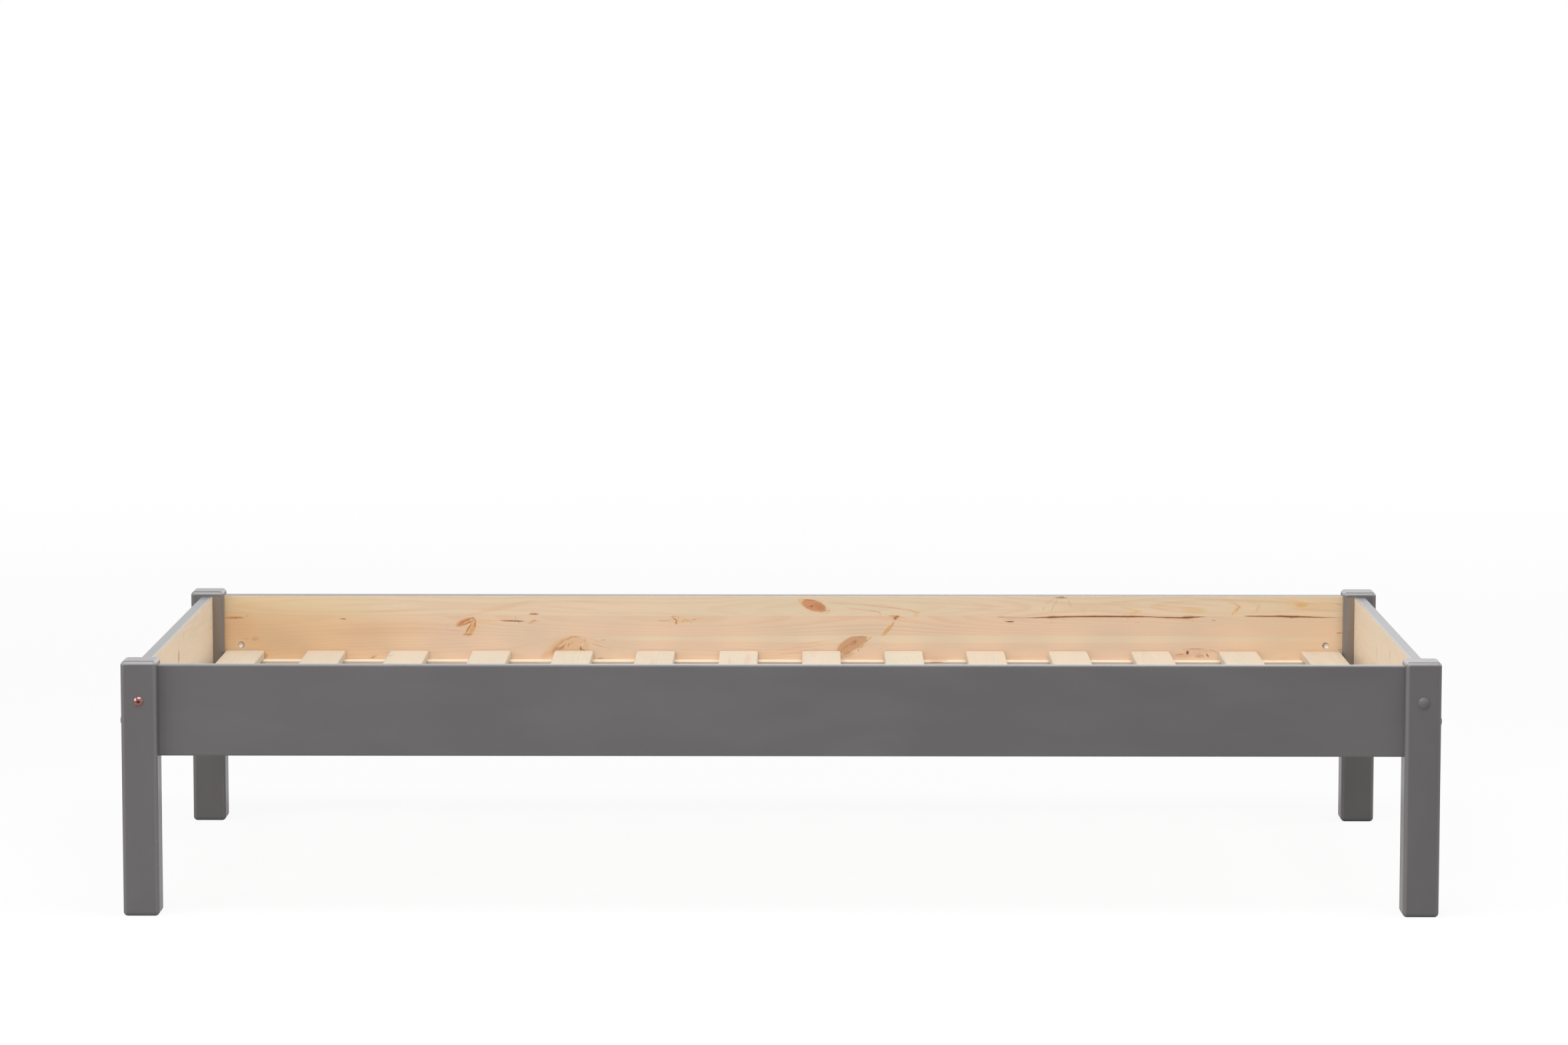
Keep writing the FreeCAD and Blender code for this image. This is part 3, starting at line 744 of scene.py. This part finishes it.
def tubeFaces(rows, columns):
    # quads between neighbouring rings, and one flat face over each end
    row, column = np.meshgrid(np.arange(rows - 1), np.arange(columns), indexing="ij")
    after = (column + 1) % columns
    quads = np.stack([row * columns + column, row * columns + after,
                      (row + 1) * columns + after, (row + 1) * columns + column], axis=-1)
    ends = [np.arange(columns)[::-1].tolist(), ((rows - 1) * columns + np.arange(columns)).tolist()]
    return quads.reshape(-1, 4).tolist() + ends


# loose slats, planed with rounded edges, each with its own slight cup and bow
slatLook = {
    "radius": 3 * mm,
    "endEase": 1.2 * mm,
    "easeSteps": 4,
    "cup": (0.075 * mm, 0.25 * mm),
    "bow": 0.5 * mm,
    "arcSteps": 6,
    "flatSteps": 7,
    "lengthSteps": 24,
    "draw": 14,
    "seedScale": 41,
    "pinkSeed": 0.37,
}
slatPine = dict(
    pineLook, sap=colour(223, 213, 194), rose=colour(225, 208, 187), late=colour(206, 178, 144),
    ringWidth=4.2 * mm, lateShare=0.18, fibreShare=0.03)


def roundedOutline(width, height, radius, arcSteps, flatSteps):
    # four quarter circles joined by straight runs, anticlockwise; x and y are parts of a complex number
    arc = radius * np.exp(1j * np.linspace(0, math.pi / 2, arcSteps + 1))
    corner = complex(width / 2 - radius, height / 2 - radius)
    corners = (corner, -corner.conjugate(), -corner, corner.conjugate())
    arcs = [middle + arc * 1j ** quarter for quarter, middle in enumerate(corners)]
    share = np.linspace(0, 1, flatSteps + 1)[1:-1]
    runs = []
    for start, following in zip(arcs, arcs[1:] + arcs[:1]):
        runs += [start, start[-1] + (following[0] - start[-1]) * share]
    outline = np.concatenate(runs)
    return np.stack([outline.real, outline.imag], axis=-1)


def slatShape(low, high, cup, bow):
    # the outline is carried along Y, eased in at both ends by a quarter circle; cup lowers the edges
    # with the square of the distance from the middle line, bow swings the middle sideways
    look = slatLook
    low, high = np.array([low, high])
    middle = (low + high) / 2
    size = high - low
    outline = roundedOutline(size[0], size[2], look["radius"], look["arcSteps"], look["flatSteps"])
    ease = look["endEase"]
    rise = ease * (1 - np.cos(np.linspace(0, math.pi / 2, look["easeSteps"])))
    inner = np.linspace(ease, size[1] - ease, look["lengthSteps"])[1:-1]
    travel = np.concatenate([rise, inner, size[1] - rise[::-1]])
    toEnd = np.clip(np.minimum(travel, size[1] - travel), 0, ease)
    inset = ease - np.sqrt(ease ** 2 - (ease - toEnd) ** 2)
    scale = 1 - 2 * inset[:, None, None] / np.array([size[0], size[2]])
    ring = outline[None] * scale
    points = np.empty((len(travel), len(outline), 3))
    points[..., 0] = middle[0] + ring[..., 0] + bow * (1 - (2 * travel[:, None] / size[1] - 1) ** 2)
    points[..., 1] = low[1] + travel[:, None]
    points[..., 2] = middle[2] + ring[..., 1] - cup * (2 * ring[..., 0] / size[0]) ** 2
    return points, tubeFaces(len(travel), len(outline))


# small knots and streaks on single slats, the rows as above but with x and y
slatMarks = {
    "blush": [(-226, 300, 5, 90, 1, 40), (-62, 320, 7, 120, -1, 55), (-92, 280, 4, 100, 1, 50)],
    "amber": [
        (802, 369, 8, 10, 30, 16), (-520, -180, 7, 9, 0, 70, 50), (372, 60, 6, 8, 12, 70, 50),
        (84, -300, 5, 7, -8, 65, 50),
    ],
    "rust": [
        (-687, 379, 7, 2.8, 8, 80, 80), (-806, 352, 5, 2, 20, 30, 90), (628, 401, 5, 2.6, 10, 30, 90),
        (655, 398, 6, 2.2, -8, 30, 90),
    ],
}


def slatFinish():
    # a board's own middle picks its figure and its share of pink
    graph = newMaterial("slat")
    x, y, z = graph.place()
    middle = graph.add("ShaderNodeAttribute", attribute_name="boardMiddle").outputs["Fac"]
    seed = graph.times(middle, slatLook["seedScale"])
    pinkSeed = graph.plus(seed, slatLook["pinkSeed"])
    pink = graph.add("ShaderNodeTexWhiteNoise", {"W": pinkSeed}, noise_dimensions="1D").outputs[0]
    place = graph.vector(y, graph.minus(x, middle), graph.minus(z, slatFoot))
    wood, height = pineFigure(graph, place, seed, slatPine, pink)
    wood = grainMarks(graph, graph.vector(x, y, 1.0), wood, slatMarks)
    return surface(graph, wood, pineLook["roughness"], height)


slatNames = sorted(name for name in cadNodes if name.startswith("slat_") and name[5:].isdigit())
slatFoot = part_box(slatNames[0])[0][2]
slatMaterial = slatFinish()
draw = np.random.default_rng(slatLook["draw"])
for slatName in slatNames:
    low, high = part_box(slatName)
    cup = draw.uniform(*slatLook["cup"])
    bow = draw.uniform(-1.0, 1.0) * slatLook["bow"]
    points, faces = slatShape(low, high, cup, bow)
    middleX = (low[0] + high[0]) / 2
    putMesh(slatName.replace("slat_", "slatBoard"), points, faces, "slat_base", slatName,
            slatMaterial, middle=middleX)
print("slats laid:", len(slatNames))


# flat woven straps under the slats, stapled to each
strapLook = {
    "ribs": 13,
    "ribRise": 0.14 * mm,
    "squareness": 14,
    "sag": 2.2 * mm,
    "stepsAcross": 79,
    "stepsAlong": 560,
    "smoothAngle": 60,
    "weave": colour(206, 200, 186),
    "gapShade": colour(150, 143, 130),
    "edge": colour(190, 184, 171),
    "weaveWidth": 25 * mm,
    "weftPitch": 1.1 * mm,
    "threadLift": (0.0, 0.5),
    "weaveDepth": 0.12 * mm,
    "fuzzScale": (900, 900, 900),
    "fuzz": (0.2, 0.9),
    "soilScale": (9, 40, 1),
    "soil": (0.4, 0.8, 0.0, 0.4),
    "roughness": 0.85,
    "sheen": 0.15,
}


def strapShape(low, high):
    # a thin flat section with ribs along it, carried in X; between slats it hangs by a squared sine
    look = strapLook
    width = high[1] - low[1]
    half = (high[2] - low[2]) / 2
    spans = np.array([[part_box(name)[0][0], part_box(name)[1][0]] for name in slatNames])
    travel = np.linspace(low[0], high[0], look["stepsAlong"])
    nextSlat = np.clip(np.searchsorted(spans[:, 0], travel), 1, len(spans) - 1)
    gapStart = spans[nextSlat - 1, 1]
    gapEnd = spans[nextSlat, 0]
    share = np.clip((travel - gapStart) / (gapEnd - gapStart), 0, 1)
    sag = look["sag"] * np.sin(math.pi * share) ** 2
    side = np.linspace(-1, 1, look["stepsAcross"])
    flatness = 1 - np.abs(side) ** look["squareness"]
    body = half * flatness ** 0.5
    rib = look["ribRise"] * (np.abs(np.sin(math.pi * look["ribs"] * (side + 1) / 2)) - 1)
    rib = rib * flatness
    up = np.stack([side * width / 2, body + rib], axis=-1)[::-1]
    under = np.stack([side * width / 2, -body - rib], axis=-1)[1:-1]
    outline = np.concatenate([up, under])
    points = np.empty((len(travel), len(outline), 3))
    points[..., 0] = travel[:, None]
    points[..., 1] = (low[1] + high[1]) / 2 + outline[None, :, 0]
    points[..., 2] = (low[2] + high[2]) / 2 + outline[None, :, 1] - sag[:, None]
    return points, tubeFaces(len(travel), len(outline))


def strapFinish():
    # plain weave: weft and warp cross as two sine waves that change places from thread to thread
    graph = newMaterial("strap")
    look = strapLook
    x, y, z = graph.place()
    warp = graph.times(y, math.pi * look["ribs"] / look["weaveWidth"])
    weft = graph.times(x, math.pi / look["weftPitch"])
    crossing = graph.times(graph.calc("SINE", warp), graph.calc("SINE", weft))
    lift = graph.calc("ABSOLUTE", crossing)
    fuzz = graph.noise(graph.vector(x, y, z), look["fuzzScale"])
    soil = graph.noise(graph.vector(x, y, z), look["soilScale"], 3.0)
    # painted shade in the low places between the threads
    tone = graph.mix(graph.step(lift, *look["threadLift"]), look["gapShade"], look["weave"])
    tone = graph.mix(graph.step(soil, *look["soil"]), tone, look["edge"])
    tone = graph.mix(1.0, tone, graph.timesPlus(fuzz, *look["fuzz"]), "MULTIPLY")
    graph.shader.inputs["Sheen Weight"].default_value = look["sheen"]
    return surface(graph, tone, look["roughness"], graph.times(lift, look["weaveDepth"]))


strapMaterial = strapFinish()
for side in ("front", "rear"):
    nodeName = "slat_webbing_" + side
    low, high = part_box(nodeName)
    points, faces = strapShape(low, high)
    strap = putMesh("strap_" + side, points, faces, "slat_base", nodeName, strapMaterial,
                    smoothAngle=strapLook["smoothAngle"])
print("straps woven")


# ledgers: one plain pine batten along each side rail, a painted highlight along its top edge
ledgerLook = {
    "pine": dict(slatPine, sap=colour(206, 190, 166), rose=colour(206, 184, 158), late=colour(180, 146, 110)),
    "litTop": colour(244, 226, 206),
    "litTopBand": (1.6 * mm, 0.2 * mm),
    "seeds": (4, 90),
    "middle": 270 * mm,
    "pink": 0.35,
}
ledgerMarks = {
    "blush": [(271, 286, 24, 2.2, 0, 80, 80)],
    "amber": [(250, 277, 30, 5, 4, 30, 90), (-640, 270, 12, 6, 0, 70, 50), (520, 266, 10, 5, 10, 60, 50)],
    "rust": [(269, 284, 17, 1.1, 0, 85, 80)],
}


def ledgerFinish():
    # the seed is higher at the rear; the painted highlight ramps up to the top, where the slats stand
    graph = newMaterial("ledger")
    look = ledgerLook
    x, y, z = graph.place()
    seed = graph.timesPlus(graph.calc("SIGN", y), *look["seeds"])
    place = graph.vector(x, graph.minus(z, look["middle"]), graph.calc("ABSOLUTE", y))
    wood, height = pineFigure(graph, place, seed, look["pine"], look["pink"])
    low, high = [slatFoot - depth for depth in look["litTopBand"]]
    # painted highlight along the top, where the light from above falls
    wood = graph.mix(graph.step(z, low, high), wood, look["litTop"])
    wood = grainMarks(graph, graph.vector(x, z, 1.0), wood, ledgerMarks)
    return surface(graph, wood, pineLook["roughness"], height)


dress(["ledger_front", "ledger_rear"], ledgerFinish())

# metal and small parts: light and dark tone, how metallic, roughness of worn and other places, noise
# features a metre, depth of the marks in mm
partLooks = {
    "bolt": ((158, 116, 110), (122, 88, 83), 1.0, (0.07, 0.16), (260, 260, 260), 0.01),
    # the nuts' near-white, hardly metallic tone is a painted reflection of the bright surroundings
    "nut": ((246, 246, 242), (228, 228, 223), 0.15, (0.25, 0.35), (500, 500, 500), 0.01),
    "cap": ((110, 108, 109), (101, 99, 100), 0.0, (0.3, 0.36), (900, 900, 900), 0.012),
    "dowel": ((222, 188, 148), (190, 148, 106), 0.0, (0.55, 0.7), (500, 500, 60), 0.05),
    "screw": ((214, 190, 128), (168, 140, 84), 1.0, (0.22, 0.4), (600, 600, 600), 0.01),
    "staple": ((196, 198, 200), (140, 142, 144), 1.0, (0.3, 0.5), (300, 900, 900), 0.01),
}
partWear = (0.3, 0.65)
# painted shade in the bolts' hex sockets
socketShade = {
    "tone": colour(104, 62, 44),
    "edge": (2.24 * mm, 2.8 * mm, 1.0, 0.0),
    "endAxis": (1011.5 * mm, 343 * mm, 0.0),
    "sideAxis": (461.5 * mm, 310 * mm, 0.0),
}


def partFinish(name, light, dark, metal, rough, scale, depth):
    # tone, gloss and height all follow one noise, worn places are lighter and smoother; a bolt gets
    # painted shade close to its own axis, in the socket
    graph = newMaterial(name)
    x, y, z = graph.place()
    worn = graph.noise(graph.vector(x, y, z), scale, 3.0)
    share = graph.step(worn, *partWear)
    tone = graph.mix(share, colour(*dark), colour(*light))
    if name == "bolt":
        wide = graph.calc("ABSOLUTE", x)
        deep = graph.calc("ABSOLUTE", y)
        near = 1.0
        for first, middle in ((wide, socketShade["endAxis"]), (deep, socketShade["sideAxis"])):
            off = graph.vectorCalc("SUBTRACT", graph.vector(first, z, 0.0), middle)
            near = graph.calc("MINIMUM", near, graph.vectorCalc("LENGTH", off))
        tone = graph.mix(graph.step(near, *socketShade["edge"]), tone, socketShade["tone"])
    graph.shader.inputs["Metallic"].default_value = metal
    roughness = graph.blendValue(share, rough[1], rough[0])
    return surface(graph, tone, roughness, graph.times(worn, depth * mm))


for partName, look in partLooks.items():
    dress([name for name in cadNodes if partName + "s" in name], partFinish(partName, *look))
print("ledgers and hardware finished")


# camera placed by measuring the photograph
cameraLook = {
    "place": (0.03549, -8.3531, 1.46115),
    "pitch": 0.1056,
    "turn": 0.0039,
    "roll": 0.0005,
    "lens": 115.80,
    "sensor": 36,
    "farthest": 100,
}


def makeCamera():
    # a level view along +Y, rolled about its own axis, dipped by the pitch, then turned about the upright
    look = cameraLook
    data = bpy.data.cameras.new("camera")
    data.lens = look["lens"]
    data.sensor_width = look["sensor"]
    data.sensor_fit = "HORIZONTAL"
    data.clip_end = look["farthest"]
    camera = newObject("camera", data)
    turn = Matrix.Rotation(look["turn"], 4, "Z")
    dip = Matrix.Rotation(math.pi / 2 - look["pitch"], 4, "X")
    roll = Matrix.Rotation(look["roll"], 4, "Z")
    camera.matrix_world = Matrix.Translation(look["place"]) @ turn @ dip @ roll
    bpy.context.scene.camera = camera


makeCamera()

# pale floor that whitens away from the bed, even world light and soft lamps
stageLook = {
    "floorSide": 60,
    "floorSeen": 0.95,
    "floorBounce": 0.5,
    "floorRoughness": 0.9,
    "floorGloss": 0.22,
    "whiteNear": 0.9,
    "whiteFrom": 1.5,
    "whiteTo": 7,
    "worldStrength": 0.34,
    "lamps": {  # place, target, size and power
        "keyLamp": ((-4.6, -3.2, 1.7), (0, 0, 0.3), (3.0, 2.4), 76),
        "frontLamp": ((-0.8, -4.1, 3.1), (0, 0, 0.3), (2.6, 1.9), 46),
        "topLamp": ((0.1, -1.1, 3.1), (0.1, -0.2, 0), (4.2, 1.3), 76),
        "rightLamp": ((3.8, 0.5, 2.3), (-0.8, 0, 0.3), (1.8, 1.8), 30),
        "backLamp": ((0.8, 5.2, 2.6), (0, 0, 0.3), (3.0, 1.8), 22),
    },
}


def makeWorld():
    # full white for rays from the camera, or by way of a mirror or glass, and dimmer as a light
    world = bpy.data.worlds.new("studio")
    bpy.context.scene.world = world
    world.use_nodes = True
    graph = shaderGraph(world.node_tree)
    background = world.node_tree.nodes["Background"]
    background.inputs["Color"].default_value = (1, 1, 1, 1)
    path = graph.add("ShaderNodeLightPath").outputs
    seen = graph.plus(path["Is Camera Ray"], path["Is Glossy Ray"])
    seen = graph.plus(seen, path["Is Transmission Ray"], clamp=True)
    strength = graph.blendValue(seen, stageLook["worldStrength"], 1.0)
    graph.feed(background.inputs["Strength"], strength)


def makeFloor():
    # a lit floor mixed with a white glow where it is seen, the more glow the farther from the bed
    look = stageLook
    half = look["floorSide"] / 2
    corners = [(-half, -half, 0), (half, -half, 0), (half, half, 0), (-half, half, 0)]
    mesh = bpy.data.meshes.new("floor")
    mesh.from_pydata(corners, [], [(0, 1, 2, 3)])
    floor = newObject("floor", mesh)
    graph = newMaterial("floor")
    sockets = graph.shader.inputs
    path = graph.add("ShaderNodeLightPath").outputs
    seen = graph.timesPlus(path["Is Glossy Ray"], look["floorGloss"], path["Is Camera Ray"])
    graph.feed(sockets["Base Color"], graph.blendValue(seen, look["floorBounce"], look["floorSeen"]))
    sockets["Roughness"].default_value = look["floorRoughness"]
    sockets["Specular IOR Level"].default_value = 0.0
    away = graph.vectorCalc("LENGTH", graph.add("ShaderNodeTexCoord").outputs["Object"])
    white = graph.step(away, look["whiteFrom"], look["whiteTo"], look["whiteNear"], 1.0)
    glow = graph.add("ShaderNodeEmission", {"Strength": 1.0})
    share = graph.times(seen, white)
    both = graph.add("ShaderNodeMixShader", {0: share, 1: graph.shader.outputs[0], 2: glow.outputs[0]})
    graph.feed(graph.tree.nodes["Material Output"].inputs["Surface"], both.outputs[0])
    mesh.materials.append(graph.made)


def addLamp(name, place, target, size, power):
    # area lamp at its place, turned to its target
    data = bpy.data.lights.new(name, "AREA")
    data.shape = "RECTANGLE"
    data.size, data.size_y = size
    data.energy = power
    lamp = newObject(name, data)
    lamp.visible_camera = False
    lamp.location = place
    ray = Vector(target) - Vector(place)
    lamp.rotation_euler = ray.to_track_quat("-Z", "Y").to_euler()


makeWorld()
makeFloor()
for lampName, look in stageLook["lamps"].items():
    addLamp(lampName, *look)
bpy.context.scene.view_settings.view_transform = "Standard"
print("stage, lamps and camera set")
